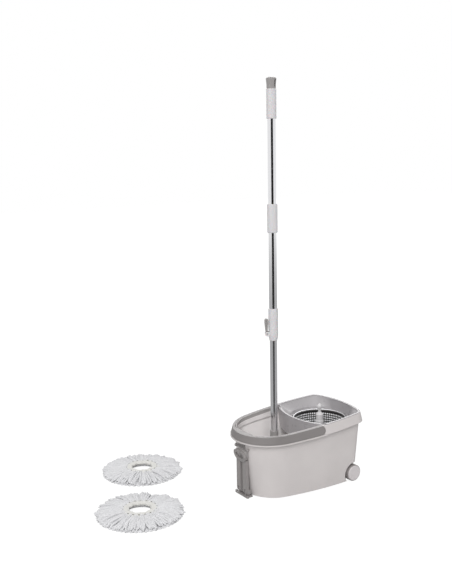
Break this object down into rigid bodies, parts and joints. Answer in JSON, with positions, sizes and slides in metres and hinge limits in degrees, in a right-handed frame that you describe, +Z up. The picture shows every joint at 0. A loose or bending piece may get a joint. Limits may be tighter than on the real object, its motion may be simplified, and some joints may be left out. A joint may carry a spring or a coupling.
{
  "type": "spin mop",
  "caption": "Spin mop with a telescopic chromed pole standing in a wheeled wringer bucket with a spinning steel basket, carrying handle, pull handle and spare mop heads",
  "frame": {"origin": "on the floor under the basket's axis, on the underside of the middle base pad", "axes": "+Z up, +X from the basket towards the wheels' end, +Y across the bucket to its far side"},
  "size_m": [0.8894, 0.6463, 1.2865],
  "materials": {
    "bucket_plastic": "satin moulded polypropylene, warm light grey",
    "pad_rubber": "moulded rubber",
    "grey_plastic": "satin moulded plastic, mid grey",
    "tray_plastic": "satin moulded plastic, grey",
    "steel": "plain steel",
    "wheel_plastic": "satin moulded plastic, light grey",
    "tread_plastic": "soft dark tread",
    "inner_plastic": "moulded plastic, grey",
    "bearing_plastic": "natural acetal",
    "basket_steel": "polished stainless sheet",
    "white_plastic": "white moulded plastic",
    "swivel_plastic": "satin moulded plastic, grey",
    "chrome_tube": "polished chromed steel",
    "ring_cloth": "stitched white binding",
    "microfibre": "white chenille microfibre loops"
  },
  "bodies": {
    "bucket": {"bucket_shell": "bucket_plastic", "base_pads": "pad_rubber", "bail_pins": "steel", "tow_foot": "grey_plastic", "tow_pin": "steel", "tow_catch": "grey_plastic", "tow_pegs": "grey_plastic", "stub_axle_left": "steel", "stub_axle_right": "steel", "basket_pedestal": "inner_plastic", "pedestal_screws": "steel", "basket_spindle": "steel", "thrust_washer": "bearing_plastic"},
    "carry_handle": {"bail_handle": "grey_plastic"},
    "pull_handle": {"tow_bar": "grey_plastic"},
    "near_wheel": {"wheel_right": "wheel_plastic", "tyre_right": "tread_plastic"},
    "far_wheel": {"wheel_left": "wheel_plastic", "tyre_left": "tread_plastic"},
    "tray": {"wringer_tray": "tray_plastic"},
    "basket": {"spin_basket": "basket_steel", "basket_carrier": "inner_plastic", "carrier_bush": "bearing_plastic", "centre_post": "white_plastic", "hub_screws": "steel"},
    "mop_foot": {"head_plate": "white_plastic", "swivel_yoke": "swivel_plastic", "yoke_screw": "steel", "swivel_pin": "steel"},
    "slim_tube": {"swivel_socket": "swivel_plastic", "lower_tube": "chrome_tube", "nut_housing": "inner_plastic"},
    "nut": {"drive_nut": "bearing_plastic"},
    "pole": {"lock_collar": "white_plastic", "clamp_shoe": "inner_plastic", "lever_pin": "steel", "middle_tube": "chrome_tube", "tube_connector": "white_plastic", "upper_tube": "chrome_tube", "grip_sleeve": "white_plastic", "end_cap": "swivel_plastic", "twisted_bar": "steel", "bar_anchor": "inner_plastic"},
    "lever": {"lock_lever": "swivel_plastic"},
    "spare_head_a": {"head_ring_a": "ring_cloth", "head_fibre_a": "microfibre"},
    "spare_head_b": {"head_ring_b": "ring_cloth", "head_fibre_b": "microfibre"}
  },
  "joints": [
    {"name": "carry_handle_hinge", "type": "hinge", "parent": "bucket", "child": "carry_handle", "pos_m": [-0.1, 0, 0.2062], "axis": [0, 1, 0], "range_deg": [0, 50]},
    {"name": "pull_handle_hinge", "type": "hinge", "parent": "bucket", "child": "pull_handle", "pos_m": [-0.303, 0, 0.016], "axis": [0, -1, 0], "range_deg": [0, 75]},
    {"name": "near_wheel_turn", "type": "hinge", "parent": "bucket", "child": "near_wheel", "pos_m": [0.052, -0.106, 0.0268], "axis": [0, 1, 0], "continuous": true},
    {"name": "far_wheel_turn", "type": "hinge", "parent": "bucket", "child": "far_wheel", "pos_m": [0.052, 0.106, 0.0268], "axis": [0, 1, 0], "continuous": true},
    {"name": "tray_lift", "type": "slide", "parent": "bucket", "child": "tray", "axis": [0, 0, 1], "range_m": [0, 0.15]},
    {"name": "basket_spin", "type": "hinge", "parent": "bucket", "child": "basket", "pos_m": [0, 0, 0.16], "axis": [0, 0, 1], "continuous": true},
    {"name": "mop_lift", "type": "slide", "parent": "bucket", "child": "mop_foot", "axis": [0, 0, 1], "range_m": [0, 0.25]},
    {"name": "swivel_tilt", "type": "hinge", "parent": "mop_foot", "child": "slim_tube", "pos_m": [-0.1847, 0, 0.075], "axis": [1, 0, 0], "range_deg": [-10, 10]},
    {"name": "pole_push", "type": "slide", "parent": "slim_tube", "child": "pole", "axis": [0, 0, -1], "range_m": [0, 0.1]},
    {"name": "nut_turn", "type": "hinge", "parent": "slim_tube", "child": "nut", "pos_m": [-0.1847, 0, 0.72], "axis": [0, 0, 1], "range_deg": [0, 450]},
    {"name": "lever_open", "type": "hinge", "parent": "pole", "child": "lever", "pos_m": [-0.20123, 0.01053, 0.504], "axis": [-0.5373, -0.8434, 0], "range_deg": [0, 75]},
    {"name": "head_a_lift", "type": "slide", "parent": "bucket", "child": "spare_head_a", "axis": [0, 0, 1], "range_m": [0, 0.25]},
    {"name": "head_b_lift", "type": "slide", "parent": "bucket", "child": "spare_head_b", "axis": [0, 0, 1], "range_m": [0, 0.25]}
  ],
  "couplings": [
    {"joint": "nut_turn", "follows": "pole_push", "rad_per_m": 78.54}
  ]
}
